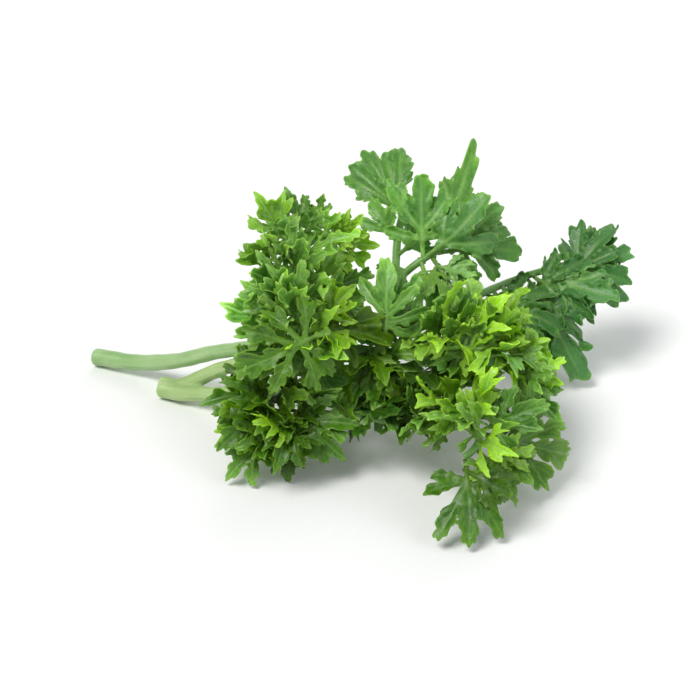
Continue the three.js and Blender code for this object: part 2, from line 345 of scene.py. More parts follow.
def grid_over(low, high, step):
    """A grid of points and its triangles, with the diagonals running both ways."""
    columns, rows = np.ceil((high - low) / step).astype(int) + 1
    x, y = np.meshgrid(np.arange(columns), np.arange(rows), indexing="ij")
    points = low + np.stack([x.ravel(), y.ravel()], 1) * step
    a = (x * rows + y)[:-1, :-1].ravel()
    b, c, d = a + rows, a + rows + 1, a + 1
    odd = ((x + y)[:-1, :-1].ravel() % 2 == 1)[:, None]
    first = np.where(odd, np.stack([a, b, d], 1), np.stack([a, b, c], 1))
    second = np.where(odd, np.stack([b, c, d], 1), np.stack([a, c, d], 1))
    return points, np.vstack([first, second]), (columns, rows)


def cut_to_outline(points, triangles, field):
    """The part of a flat mesh where field is under zero, with its edge cut along field zero."""
    inside = field <= 0
    count = inside[triangles].sum(1)
    kept = [triangles[count == 3]]
    cuts = {}

    def crossing(a, b):
        if field[a] == 0:
            return a
        return cuts.setdefault((a, b), len(points) + len(cuts))

    for corners in triangles[(count == 1) | (count == 2)]:
        lone = inside[corners] == (inside[corners].sum() == 1)
        a, b, c = np.roll(corners, -int(np.flatnonzero(lone)[0]))
        if inside[a]:
            kept.append([[a, crossing(a, b), crossing(a, c)]])
        else:
            left, right = crossing(b, a), crossing(c, a)
            kept.append([[left, b, c], [left, c, right]])
    if cuts:
        ends = np.array(list(cuts))
        here, there = points[ends[:, 0]], points[ends[:, 1]]
        share = field[ends[:, 0]] / (field[ends[:, 0]] - field[ends[:, 1]])
        points = np.vstack([points, here + share[:, None] * (there - here)])
    triangles = np.vstack(kept)
    return points, triangles[(triangles != np.roll(triangles, 1, 1)).all(1)]


def largest_sheet(points, triangles):
    """The largest connected part of a flat mesh, without its unused points."""
    label = np.arange(len(points))
    changed = True
    while changed:
        before = label.copy()
        least = label[triangles].min(1)
        for k in range(3):
            np.minimum.at(label, triangles[:, k], least)
        label = label[label]
        changed = (label != before).any()
    names, counts = np.unique(label[triangles[:, 0]], return_counts=True)
    triangles = triangles[label[triangles[:, 0]] == names[counts.argmax()]]
    used, index = np.unique(triangles, return_inverse=True)
    return points[used], index.reshape(-1, 3)


def outline_field(points, veins, scallops):
    """How far each point lies outside the blade, with the corners between strips filled a little.

    scallops is how many there are in a full turn about the leaflet's hub, and how deep they are.
    """
    edges = np.stack([vein.away(points)[1] for vein in veins])
    least = edges.min(0)
    field = least - EDGE_BLEND * np.log(np.exp((least - edges) / EDGE_BLEND).sum(0))
    count, depth = scallops
    if count:
        around = np.arctan2(points[:, 1], points[:, 0] - STALKLET_SHARE)
        reach = np.hypot(points[:, 0] - STALKLET_SHARE, points[:, 1])
        field += depth * np.cos(count * around) * smoothstep(*SCALLOPS_START, reach)
    return field


def flat_leaflet(length, veins, scallops):
    """The cut sheet of a leaflet one unit long, at a mesh step that suits its real length."""
    ends = np.vstack([vein.line for vein in veins])
    step = GRID / length
    points, triangles, shape = grid_over(ends.min(0) - SHEET_MARGIN, ends.max(0) + SHEET_MARGIN, step)
    field = outline_field(points, veins, scallops)
    slope = np.stack(np.gradient(field.reshape(shape), step), -1).reshape(-1, 2)
    steep = np.maximum((slope ** 2).sum(1), 0.2)
    near = np.abs(field) < SNAP * step
    points = np.where(near[:, None], points - (field / steep)[:, None] * slope, points)
    points, triangles = cut_to_outline(points, triangles, np.where(near, 0, field))
    return largest_sheet(points, triangles)


# ---------------------------------------------------------------- a leaflet, grown

PAST_TIP = 1.2  # a bend is worked out to this share of its vein
BEND_STEPS = 61
BEND_EASE = 1.6  # above 1, a vein bends more towards its tip
FOLD_ROUND = 0.012  # how round the bottom of a fold is, as a share of the leaflet's length
PART_EASE = 0.012  # how softly one part's bend runs into the next
TOOTH_UNREST = 0.35  # how much teeth differ in their bend, in radians
TOOTH_TWIST = 0.3
LOBE_TWIST = 0.35
TOOTH_FOLD = 0.7  # a tooth's share of its leaflet's fold
RUFFLES = 4  # waves that add up to the ruffle of an edge
RUFFLE_LENGTHS = (0.1, 0.22)  # how long they are, as shares of the leaflet's length
RUFFLE_RIM = 0.08  # how far in from the edge the ruffle reaches
STALKLET_END = 0.42  # where a stalklet has tapered away into the midrib
STALKLET_FLAT = (0.5, 0.2)  # where it is as flat as the blade, and where it is still round
STALKLET_TAPER = [(0, 1), (0.6, 0.85), (1, 0.25)]  # share of the way along it, share of its radius
STALKLET_ROUND = 0.85  # how thick a stalklet is made, as a share of its width
VEIN_DIP = 0.06  # millimetres that the veins lie below the blade
RIM_WIDTH = 0.55  # millimetres in from the edge over which the rim's colour fades
FRILLED_REACH = 0.45  # how much of the painted light towards the tips, out of the painted shade at the hub, a frilled blade has
# The pale mark of the veins: its half width in millimetres, and how strong it is on teeth
VEIN_MARK = (0.22, 0.5)
FRILLED_VEIN_MARK = (0.42, 0.15)
TOOTH_VEIN_WIDTH = 0.2
FRILLED_VEIN = 0.75  # how strong the veins of a frilled blade are
FRILLED_VEIN_END = (0.85, 0.3)  # how far from the hub they have faded out, and begin to
STALKLET_MARK = 0.9  # how strong the same mark is on a stalklet
STALKLET_MARK_EDGE = (0.02, -0.01)
REACH = (0.3, 1)  # how far from the hub the painted light towards the tips begins, and is full; nearer the hub the blade keeps its painted shade


def bent(points, vein, turn, twist, fold):
    """Points of the blade moved as it bends and twists along a vein and folds about it."""
    chord = vein.line[-1] - vein.line[0]
    ahead = chord / np.linalg.norm(chord)
    aside = np.array([-ahead[1], ahead[0]])
    along = (points[:, :2] - vein.line[0]) @ ahead
    across = (points[:, :2] - vein.line[0]) @ aside
    share = np.clip(along / vein.length, 0, PAST_TIP)
    steps = np.linspace(0, PAST_TIP, BEND_STEPS)
    angles = turn * steps ** BEND_EASE
    run = np.concatenate([[0], np.cumsum(np.cos(angles[:-1]) * np.diff(steps))])
    rise = np.concatenate([[0], np.cumsum(np.sin(angles[:-1]) * np.diff(steps))])
    angle = np.interp(share, steps, angles)
    roll = twist * share
    ridge = fold * (np.sqrt(across ** 2 + FOLD_ROUND ** 2) - FOLD_ROUND) * smoothstep(0, 0.5, share)
    height = points[:, 2] + ridge
    out = across * np.cos(roll) - height * np.sin(roll)
    up = across * np.sin(roll) + height * np.cos(roll)
    forward = np.minimum(along, 0) + np.interp(share, steps, run) * vein.length - up * np.sin(angle)
    lift = np.interp(share, steps, rise) * vein.length + up * np.cos(angle)
    flat = vein.line[0] + forward[:, None] * ahead + out[:, None] * aside
    return np.column_stack([flat, lift])


def curled(points, lobe_veins, tooth_veins, look, rng):
    """A flat sheet with each tooth and each lobe bent its own way."""
    edges = {vein: vein.away(points[:, :2])[1] for vein in lobe_veins + tooth_veins}
    least = np.min(list(edges.values()), axis=0)
    pull = {vein: np.exp(np.maximum((least - edge) / PART_EASE, -40)) for vein, edge in edges.items()}
    total = sum(pull.values())
    grown = np.zeros_like(points)
    for lobe in lobe_veins:
        part = points * pull[lobe][:, None]
        weight = pull[lobe].copy()
        for tooth in tooth_veins:
            if tooth.lobe != lobe.lobe:
                continue
            turn = look["tooth_curl"] + rng.normal(0, TOOTH_UNREST)
            moved = bent(points, tooth, turn, rng.normal(0, TOOTH_TWIST), look["fold"] * TOOTH_FOLD)
            part += moved * pull[tooth][:, None]
            weight += pull[tooth]
        safe = np.maximum(weight, 1e-30)[:, None]
        turn = look["curl"] + rng.normal(0, look["unrest"])
        moved = bent(part / safe, lobe, turn, rng.normal(0, LOBE_TWIST), look["fold"])
        grown += moved * (weight / total)[:, None]
    return grown


def ruffle(flat, rim, look, rng):
    """Small waves of the blade's edge."""
    height = np.zeros(len(flat))
    for _ in range(RUFFLES):
        heading = rng.uniform(0, math.tau)
        wave = math.tau / rng.uniform(*RUFFLE_LENGTHS)
        height += np.sin(wave * (flat @ [math.cos(heading), math.sin(heading)]) + rng.uniform(0, math.tau))
    return look["ruffle"] * height * smoothstep(RUFFLE_RIM, 0, rim)


def grow_blade(length, lobes, spread, look, rng):
    """One blade with its stalklet: solid points in its own frame in millimetres, faces and marks."""
    lobe_veins, tooth_veins = draw_veins(lobes, spread, look, rng)
    root = STALKLET_ROOT / length
    stalklet = Vein(np.array([-root, 0]), 0, STALKLET_END + root, 0, [(0, 0), (1, 0)])
    stalklet.half = np.interp(stalklet.steps, *zip(*STALKLET_TAPER)) * STALKLET_RADIUS / length
    veins = [stalklet] + lobe_veins + tooth_veins
    flat, triangles = flat_leaflet(length, veins, look["scallops"])
    depth = -outline_field(flat, veins, look["scallops"]) * length
    lobe_gap = np.min([vein.away(flat)[0] for vein in lobe_veins], axis=0) * length
    tooth_gap = np.min([vein.away(flat)[0] for vein in tooth_veins], axis=0) * length
    vein_width, on_teeth = FRILLED_VEIN_MARK if look["frilled"] else VEIN_MARK
    stalk_gap, stalk_edge = stalklet.away(flat)
    tooth_mark = on_teeth * np.exp(-(tooth_gap / TOOTH_VEIN_WIDTH) ** 2)
    vein_mark = np.maximum(np.exp(-(lobe_gap / vein_width) ** 2), tooth_mark)
    if look["frilled"]:
        hub_gap = np.linalg.norm(flat - [STALKLET_SHARE, 0], axis=1)
        vein_mark *= FRILLED_VEIN * smoothstep(*FRILLED_VEIN_END, hub_gap)
    stalk_mark = STALKLET_MARK * smoothstep(*STALKLET_MARK_EDGE, stalk_edge)
    sheet = curled(np.column_stack([flat, np.zeros(len(flat))]), lobe_veins, tooth_veins, look, rng)
    sheet[:, 2] += ruffle(flat, depth / length, look, rng)
    hub_square = STALKLET_SHARE ** 2
    reach_square = (1 - STALKLET_SHARE) ** 2
    curve = ARCH / reach_square
    slope = curve * (reach_square - hub_square)
    from_hub = (flat[:, 0] - STALKLET_SHARE) ** 2 + flat[:, 1] ** 2
    sheet[:, 2] += curve * (hub_square - from_hub) + slope * flat[:, 0]
    sheet *= length
    sheet[:, 2] -= VEIN_DIP * vein_mark
    half = BLADE / 2 * (THIN_EDGE + (1 - THIN_EDGE) * smoothstep(0, EDGE_TAPER, depth))
    stalk_radius = STALKLET_RADIUS * STALKLET_ROUND
    stalk_round = np.sqrt(np.maximum(stalk_radius ** 2 - (stalk_gap * length) ** 2, 0))
    half = np.maximum(half, stalk_round * smoothstep(*STALKLET_FLAT, flat[:, 0]))
    marks = {
        "on_blade": np.column_stack([flat * length, np.zeros(len(flat))]),
        "vein": np.maximum(vein_mark, stalk_mark),
        "rim": smoothstep(RIM_WIDTH, 0, depth),
        # reach: painted shade at the hub, where the bunch shades the blade, turning to painted light at
        # the tips
        "reach": (FRILLED_REACH if look["frilled"] else 1) * smoothstep(*REACH, np.sqrt(from_hub)),
    }
    return sheet, triangles, half, marks


# ---------------------------------------------------------------- the leaflets

# How a leaflet has grown. curl and tooth_curl lift its lobes and teeth (radians, less than 0 droops),
# unrest is how much its lobes differ in that, fold closes each lobe about its vein, and ruffle is
# the height of the waves along its edge, as a share of its length.
# plan names its lobes where its solid doesn't, web is how wide the lobes are, frilled gives it
# small close teeth, and scallops is how many there are in a full turn, and how deep.
# side_blades grow from its stalklet, pitched (less than 0 lifts them) and turned by so many degrees.
# A blade that stands clear of its leafstalk has a stalklet, which runs right, up and forward by so
# many millimetres.
# lime, cool and light are how yellow, how blue and how bright its green is; the darker light of the low,
# under and centre sets and of some leaflets is painted shade where the bunch shades them, and the brighter
# light of some leaflets is painted light. young is the chance that a blade is fresh and lime.
PLAIN = {
    "curl": 0.0, "tooth_curl": 0.25, "unrest": 0.5, "fold": 0.4, "ruffle": 0.004,
    "plan": None, "web": 1.0, "frilled": False, "scallops": (0, 0),
    "side_blades": 2, "side_pitch": -25, "side_turn": 60, "stalklet": None,
    "lime": 0.2, "cool": 0.1, "light": 0.0, "young": 0.1,
}
SET_LOOKS = {
    "low": {"light": -0.5, "lime": 0.15, "curl": -0.1, "side_blades": 3, "young": 0.12},
    "left": {"light": 0.3, "tooth_curl": 0.4},
    "top": {"curl": 0.1, "tooth_curl": 0.5, "young": 0.05},
    "under": {"light": -0.65, "lime": 0.1, "young": 0.0},
    "centre": {"light": -0.25, "side_blades": 1, "young": 0.05},
    "right": {"light": -0.05, "lime": 0.25, "young": 0.4, "unrest": 0.6, "side_blades": 3},
    "back": {
        "frilled": True, "scallops": (34, 0.02), "cool": 0.45, "light": 0.16, "lime": 0.1, "young": 0.0,
        "side_blades": 1, "side_pitch": -3, "side_turn": 42,
        "fold": 0.25, "curl": -0.1, "tooth_curl": 0.1, "unrest": 0.3, "ruffle": 0.007,
    },
    "right_back": {
        "frilled": True, "scallops": (23, 0.045), "cool": 0.75, "lime": 0.0, "young": 0.0,
        "side_blades": 0, "ruffle": 0.02, "web": 1.25, "unrest": 0.35,
    },
    "front": {"light": -0.15, "curl": -0.1},
}
OWN_LOOKS = {
    "leaflet_back_1": {"plan": "fan", "side_blades": 0},
    "leaflet_back_2": {"plan": "spear", "side_blades": 0},
    "leaflet_back_4": {"frilled": False, "side_blades": 2},
    "leaflet_left_4": {"light": 0.0, "lime": 0.5, "fold": 0.7},
    "leaflet_left_5": {"lime": 0.7, "curl": 0.3},
    "leaflet_left_6": {"light": 0.1},
    "leaflet_left_7": {"light": 0.3, "lime": 0.4, "fold": 0.15, "side_blades": 1},
    "leaflet_left_8": {"light": 0.0, "curl": 0.5},
    "leaflet_left_9": {"light": -0.1},
    "leaflet_top_4": {"lime": 1.0, "light": 0.35, "curl": 0.7, "fold": 0.8},
    "leaflet_top_5": {"lime": 1.0, "light": 0.35, "curl": 0.8, "fold": 0.8},
    "leaflet_centre_1": {
        "light": 0.2, "cool": 0.3, "lime": 0.15, "side_blades": 1, "fold": 0.2, "web": 1.25,
    },
    "leaflet_centre_3": {"light": -0.6},
    "leaflet_right_1": {"light": -0.4},
    "leaflet_right_2": {"lime": 0.9, "light": 0.3, "curl": 0.7, "fold": 0.8},
    "leaflet_right_3": {"lime": 0.9, "light": 0.3, "curl": 0.6, "fold": 0.8},
    "leaflet_right_4": {"light": 0.2, "fold": 0.15, "side_blades": 0},
    "leaflet_right_8": {"light": -0.6},
    "leaflet_front_1": {"cool": 0.2, "light": -0.25, "side_blades": 1, "plan": "long", "fold": 0.2},
    "leaflet_front_3": {"lime": 0.7, "light": 0.2},
    "leaflet_front_5": {"light": -0.15},
}
HALF_WIDTH = 0.62  # of a leaflet whose side lobes have their full length, as a share of its length
SPREADS = (0.55, 1.1)  # the least and the most that side lobes are made shorter or longer
STALKLET_CLIMB = 0.1 + ARCH  # how steeply a stalklet rises to its blade
# Side blades: which way each turns, where they leave the stalklet and how long they are as shares
# of the leaflet's length, how much they differ in roll, pitch and turn, and how much more the
# third one is lifted, in degrees
SIDE_BLADE_TURNS = [1, -0.95, 0.4]
SIDE_BLADE_SHARES = (0.1, 0.2)
SIDE_BLADE_LENGTHS = (0.62, 0.8)
ROLL_UNREST, PITCH_UNREST, TURN_UNREST = 18, 15, 9
THIRD_BLADE_LIFT = 35
FLOOR_GAP = 0.3  # millimetres that a leaf's middle stays above the floor
FLOOR_EASE = 0.6  # how softly a blade is turned up by the floor
# How blades differ in their green: lime varies, and rises towards the tips, by so much and by so
# much more for its own amount; a young blade is more lime and lighter
LIME_UNREST = (0.08, 0.35)
LIME_TIPS = (0.05, 0.6)
COOL_UNREST = 0.08
LIGHT_UNREST = 0.28
YOUNG_LIME = 0.8
YOUNG_LIGHT = 0.35
GRAIN_RANGE = 200  # millimetres over which blades take their grain from different places
LEAFLET_SEED, SPRIG_SEED, SINGLE_SEED = 4100, 7300, 9100


def turned(x, y, z):
    """Rows of a frame turned about X, then Y, then Z, in radians."""
    return np.array(Matrix.Rotation(z, 3, "Z") @ Matrix.Rotation(y, 3, "Y") @ Matrix.Rotation(x, 3, "X")).T


def leaflet_blades(node, stalk_line, rng):
    """A leaflet's blades: each one's base, frame, length, lobes and spread."""
    look = {**PLAIN, **SET_LOOKS.get(set_of(node), {}), **OWN_LOOKS.get(node, {})}
    points, _ = solid_points(node)
    base, length, axes = leaflet_lie(node, stalk_line)
    lobes = look["plan"] or LOBES_OF_SOLID[len(points)]
    spread = np.clip(np.abs((points - base) @ axes[1]).max() / length / HALF_WIDTH, *SPREADS)
    blades = [(base, axes, length, lobes, spread)]
    for k in range(look["side_blades"]):
        share = rng.uniform(*SIDE_BLADE_SHARES)
        rise = STALKLET_CLIMB * share * length
        foot = base + np.array([share * length, 0, rise]) @ axes
        side = look["side_turn"] * SIDE_BLADE_TURNS[k] + rng.normal(0, TURN_UNREST)
        pitch = look["side_pitch"] + rng.uniform(-PITCH_UNREST, PITCH_UNREST)
        pitch -= THIRD_BLADE_LIFT if k == 2 else 0
        roll = rng.normal(0, ROLL_UNREST)
        own_axes = turned(math.radians(roll), math.radians(pitch), math.radians(side)) @ axes
        own_length = length * rng.uniform(*SIDE_BLADE_LENGTHS)
        blades.append((foot, own_axes, own_length, 3 if lobes == 3 else 5, 1.0))
    return look, blades


def set_of(node):
    """The name of the set that a leaflet belongs to."""
    return node[len("leaflet_"):].rsplit("_", 1)[0]


def grow_leaflet(node, stalk_line, materials, number):
    """The blades that take the place of a leaflet's solid."""
    rng = np.random.default_rng(LEAFLET_SEED + number)
    look, blades = leaflet_blades(node, stalk_line, rng)
    piece = grow_blades(node + "_blades", blades, look, materials, rng)
    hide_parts(node)


def grow_blades(name, blades, look, materials, rng):
    """One piece of several blades, each (base, frame, length, lobes, spread)."""
    parts = []
    for base, axes, length, lobes, spread in blades:
        sheet, triangles, half, marks = grow_blade(length, lobes, spread, look, rng)
        placed = base + sheet @ axes
        low = placed[:, 2] - FLOOR_GAP
        placed[:, 2] = FLOOR_GAP + (low + np.sqrt(low ** 2 + FLOOR_EASE)) / 2
        solid, faces, slots = thick_sheet(placed, triangles, half)
        marks = {mark: np.concatenate([values, values]) for mark, values in marks.items()}
        marks["on_blade"] = marks["on_blade"] + rng.uniform(0, GRAIN_RANGE, 3)
        lime = look["lime"] + rng.normal(0, LIME_UNREST[0] + LIME_UNREST[1] * look["lime"])
        young = rng.uniform() < look["young"]
        lime += YOUNG_LIME * young
        lime_tips = (LIME_TIPS[0] + LIME_TIPS[1] * look["lime"]) * marks["reach"]
        marks["lime"] = np.clip(lime + lime_tips, 0, 1)
        cool = np.clip(look["cool"] + rng.normal(0, COOL_UNREST), 0, 1)
        marks["cool"] = np.full(len(solid), cool)
        # A blade's brightness: painted shade and painted light from its set and leaflet, random tone, and
        # paler young blades
        light = look["light"] + YOUNG_LIGHT * young + rng.normal(0, LIGHT_UNREST)
        marks["light"] = np.full(len(solid), light)
        parts.append((solid, faces, slots, marks))
    points, faces, marks = joined([(solid, faces, marks) for solid, faces, _, marks in parts])
    slots = np.concatenate([slots for _, _, slots, _ in parts])
    piece = new_piece(name, points, faces, slots, materials, marks)
    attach(piece, "root")
    return piece


# Small blades crowding a leafstalk: how many, from which share of it to which, and the set they match
SPRIGS = {
    "leafstalk_left": (14, 0.05, 0.8, "left"),
    "leafstalk_low": (5, 0.1, 0.95, "low"),
    "leafstalk_under": (12, 0.3, 1.0, "under"),
    "leafstalk_centre": (2, 0.6, 1.0, "centre"),
    "leafstalk_right": (20, 0.32, 0.97, "right"),
    "leafstalk_front": (13, 0.0, 0.85, "front"),
}
# Single blades given one by one: share of the leafstalk, where the tip points (right, up and forward
# as the bunch is looked at), length, lobes, the set it matches, and what is its own
# Their light values are painted shade and painted light, as for the leaflets
SINGLE_BLADES = {
    "leafstalk_back_branch": [
        (0.62, (-0.05, 1.0, 0.0), 17, 5, "back", {}),
        (0.62, (0.75, 0.6, 0.1), 18, 3, "back", {"web": 1.2}),
        (0.35, (-0.75, -0.5, 0.4), 9, 3, "back", {}),
        (0.55, (0.3, -0.95, 0.2), 14, 3, "back", {"frilled": False}),
    ],
    "leafstalk_back": [
        (0.7, (0.8, 0.6, 0.1), 12, 3, "back", {"web": 1.1}),
        (0.8, (-0.6, 0.9, 0.1), 10, 3, "back", {"web": 1.1}),
    ],
    "leafstalk_left": [
        (0.35, (-0.85, -0.4, 0.1), 20, 7, "left", {
            "stalklet": (5, 1, 9.5), "fold": 0.4, "unrest": 0.35, "curl": -0.05, "tooth_curl": 0.25,
            "light": -0.3, "lime": 0.12, "cool": 0.0, "web": 0.85,
        }),
        (0.6, (-0.9, 0.35, 0.5), 16, 7, "left", {"fold": 0.25, "light": 0.1, "lime": 0.3}),
    ],
    "leafstalk_low": [
        (0.25, (-0.7, -0.6, 0.6), 18, 7, "low", {"fold": 0.25}),
        (0.6, (0.75, -0.5, 0.4), 17, 5, "low", {"fold": 0.25, "lime": 0.05}),
    ],
    "leafstalk_right_back": [
        (0.5, (0.2, -0.9, 0.2), 15, 7, "right_back", {"light": -0.35}),
        (0.66, (0.45, -0.85, 0.2), 17, 7, "right_back", {"light": -0.3}),
        (0.82, (0.75, -0.65, 0.3), 16, 7, "right_back", {"light": -0.2}),
        (1.0, (1.0, -0.2, 0.3), 13, "round", "right_back", {"web": 1.5}),
        (1.0, (0.3, -0.9, 0.2), 11, "round", "right_back", {"web": 1.6}),
    ],
    "leafstalk_centre": [
        (1.0, (0.05, 1.0, 0.1), 17, 7, "centre", {
            "stalklet": (-1, 2, 5), "fold": 0.3, "unrest": 0.35, "light": 0.0, "cool": 0.3,
            "lime": 0.1, "web": 1.15,
        }),
        (0.85, (0.85, -0.1, 0.5), 15, 3, "centre", {"web": 1.3, "light": 0.0}),
        (0.75, (0.1, -0.9, 0.5), 15, 5, "centre", {"web": 1.2, "light": -0.1}),
        (0.1, (-0.2, -1.0, 0.4), 17, 5, "left", {"light": 0.1}),
        (0.35, (0.15, -1.0, 0.4), 16, 5, "left", {"light": 0.0, "lime": 0.4}),
        (0.95, (0.15, -0.9, 0.45), 15, 5, "centre", {"web": 1.2, "light": 0.0}),
    ],
}
# Right, up and forward (towards the viewer), as the bunch is looked down at from the front
LOOK_RIGHT = np.array([1.0, 0.0, 0.0])
LOOK_UP = np.array([0.0, 0.5, 0.866])
LOOK_FORWARD = np.array([0.0, -0.866, 0.5])
GOLDEN_TURN = 2.4  # radians from one small blade of a leafstalk to the next
SPRIG_LENGTHS = (11.5, 16)
SPRIG_LOBES = [3, 5]
# How the small blades differ: in their place within their part of the leafstalk, in their turn
# round it, in how far they lean along it, and in how far their faces tip along it and any way
SPRIG_SHIFT = (0.2, 0.8)
SPRIG_TURN = 0.4
SPRIG_LEAN = (0.2, 0.9)
FACE_ALONG, FACE_ANY = 0.8, 0.3
# A stalklet that stands clear: share of its way from foot to base, and its radius there
CLEAR_STALKLET = [(0, 0.7), (0.6, 0.6), (1, 0.55)]
CLEAR_STALKLET_END = 0.45


def grow_sprigs(stalk, materials, number):
    """The small blades along a leafstalk, set round it in a spiral."""
    count, first, last, kin = SPRIGS[stalk]
    rng = np.random.default_rng(SPRIG_SEED + number)
    look = {**PLAIN, **SET_LOOKS[kin], "side_blades": 0}
    line = middle_line(stalk)
    if stalk == "leafstalk_left" and line[0][2] > line[-1][2]:
        line = line[::-1]
    blades = []
    for k in range(count):
        share = first + (last - first) * (k + rng.uniform(*SPRIG_SHIFT)) / count
        at = int(share * (len(line) - 2))
        tangent = unit(line[at + 1] - line[at])
        side = unit(np.cross(tangent, [0, 0, 1]))
        over = np.cross(side, tangent)
        roll = k * GOLDEN_TURN + rng.uniform(-SPRIG_TURN, SPRIG_TURN)
        out = math.cos(roll) * side + abs(math.sin(roll)) * over
        x_axis = unit(out + rng.uniform(*SPRIG_LEAN) * tangent)
        z_axis = unit(over + FACE_ALONG * tangent * rng.normal() + FACE_ANY * rng.normal(size=3))
        z_axis = unit(z_axis - (z_axis @ x_axis) * x_axis)
        axes = np.array([x_axis, np.cross(z_axis, x_axis), z_axis])
        length = rng.uniform(*SPRIG_LENGTHS)
        blades.append((line[at], axes, length, int(rng.choice(SPRIG_LOBES)), 1.0))
    grow_blades(stalk + "_sprigs", blades, look, materials, rng)


def as_looked_at(right, up, forward):
    """A direction or move given as the bunch is looked at, in the frame's own terms."""
    return right * LOOK_RIGHT + up * LOOK_UP + forward * LOOK_FORWARD


def grow_stalklet(name, foot, base, x_axis, material):
    """The round stalklet of a blade that stands well clear of its leafstalk."""
    knots = [[*(foot + share * (base - foot)), radius] for share, radius in CLEAR_STALKLET]
    knots.append([*(base + x_axis), CLEAR_STALKLET_END])
    points, faces, marks = stem_tube(knots, rib_depth=0.02)
    piece = new_piece(name, points, faces, np.zeros(len(faces), int), [material], marks)
    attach(piece, "root")


def grow_single_blades(stalk, materials, stalk_material, number):
    """The blades that are listed for a leafstalk, each a piece of its own."""
    line = middle_line(stalk)
    for k, (share, toward, length, lobes, kin, own) in enumerate(SINGLE_BLADES[stalk]):
        rng = np.random.default_rng(SINGLE_SEED + 10 * number + k)
        x_axis = unit(as_looked_at(*toward))
        z_axis = unit(LOOK_FORWARD - (LOOK_FORWARD @ x_axis) * x_axis)
        axes = np.array([x_axis, np.cross(z_axis, x_axis), z_axis])
        look = {**PLAIN, **SET_LOOKS[kin], **own}
        base = line[int(share * (len(line) - 1))]
        if look["stalklet"]:
            foot = base
            base = foot + as_looked_at(*look["stalklet"])
            grow_stalklet(f"{stalk}_stalklet_{k + 1}", foot, base, x_axis, stalk_material)
        blade = (base, axes, length, lobes, 1.0)
        grow_blades(f"{stalk}_blade_{k + 1}", [blade], look, materials, rng)


# ---------------------------------------------------------------- stems and leafstalks

STEM_AROUND = 36
STEM_STEP = 0.45  # millimetres between a stem's rings
STALK_STEP = 0.3  # millimetres between the points of a leafstalk's middle line
RIBS = 9
UNEVEN = 0.02  # how much a stem's thickness wavers, as a share of its radius
ROOT_IN = 1.2  # how far a leafstalk starts inside what it grows from
# A ring's share of the radius, how far it sits out past the end (as a share too), and its cut mark
CUT_LIP = [(0.98, 0.02, 0.1), (0.9, 0.16, 0.6), (0.76, 0.22, 0.9), (0.5, 0.17, 1), (0.2, 0.13, 1)]
ROUND_CAP = [(0.97, 0.1, 0), (0.85, 0.28, 0), (0.62, 0.42, 0), (0.32, 0.5, 0), (0.1, 0.52, 0)]
# The forked stem: how its two arms are fused and smoothed, and how they leave the shared cut end
FORK_VOXEL = 0.22
FORK_SMOOTHING = 12
ARM_ASIDE = 0.8
ARM_MIDDLE = 0.45  # where an arm's second knot is, as a share of the way to its first ring
ARM_RISE = 0.3
ARM_RADII = (0.97, 0.95)  # at its first two knots, as shares of the radius at the cut
CUT_EDGE = (-0.25, 0.1)  # millimetres beyond an arm's first knot where the cut begins, and is full


def smooth_line(knots, step):
    """A curve through the knots, with the radius carried along as its fourth value."""
    knots = np.asarray(knots)
    padded = np.vstack([2 * knots[0] - knots[1], knots, 2 * knots[-1] - knots[-2]])
    line = []
    for a, b, c, d in zip(padded, padded[1:], padded[2:], padded[3:]):
        count = max(2, int(np.linalg.norm(c[:3] - b[:3]) / step))
        t = (np.arange(count) / count)[:, None]
        line.append(b + 0.5 * t * (c - a + t * (2 * a - 5 * b + 4 * c - d + t * (3 * (b - c) + d - a))))
    return np.vstack(line + [knots[-1:]])


def frames_along(line):
    """Two directions across a line at each of its points, turning no more than the line does."""
    tangents = unit(np.gradient(line, axis=0))
    across = [unit(np.cross(tangents[0], [0, 0, 1.0]))]
    for tangent in tangents[1:]:
        across.append(unit(across[-1] - (across[-1] @ tangent) * tangent))
    across = np.array(across)
    return across, np.cross(tangents, across), tangents


def stem_tube(knots, rib_depth, cut_start=False, phase=0):
    """A ribbed stem along its knots (x, y, z, radius), with rounded ends, or its first one cut."""
    body = smooth_line(knots, STEM_STEP)
    line, radius = body[:, :3], body[:, 3]
    across, over, tangents = frames_along(line)
    angle = np.arange(STEM_AROUND) * math.tau / STEM_AROUND
    along = np.concatenate([[0], np.cumsum(np.linalg.norm(np.diff(line, axis=0), axis=1))])
    side, top = np.cos(angle), np.sin(angle)
    rings = []
    rows = []
    cuts = []

    def ring(k, share, out, cut):
        waves = np.cos(RIBS * angle + phase) + 0.5 * np.cos(2 * RIBS * angle + 2 * phase)
        ribs = 1 + rib_depth * share * waves
        uneven = 1 + UNEVEN * math.sin(0.5 * along[k]) + UNEVEN * math.sin(1.3 * along[k] + 1)
        reach = (radius[k] * share * uneven * ribs)[:, None]
        centre = line[k] + out * radius[k] * tangents[k]
        rings.append(centre + reach * (side[:, None] * across[k] + top[:, None] * over[k]))
        within = radius[k] * share
        rows.append(np.stack([within * side, within * top, np.full(STEM_AROUND, along[k])], 1))
        cuts.append(np.full(STEM_AROUND, cut))

    for share, out, cut in reversed(CUT_LIP if cut_start else ROUND_CAP):
        ring(0, share, -out, cut)
    for k in range(len(line)):
        ring(k, 1, 0, 0.0)
    for share, out, cut in ROUND_CAP:
        ring(len(line) - 1, share, out, cut)
    return closed_tube(np.array(rings), np.array(rows), np.array(cuts))


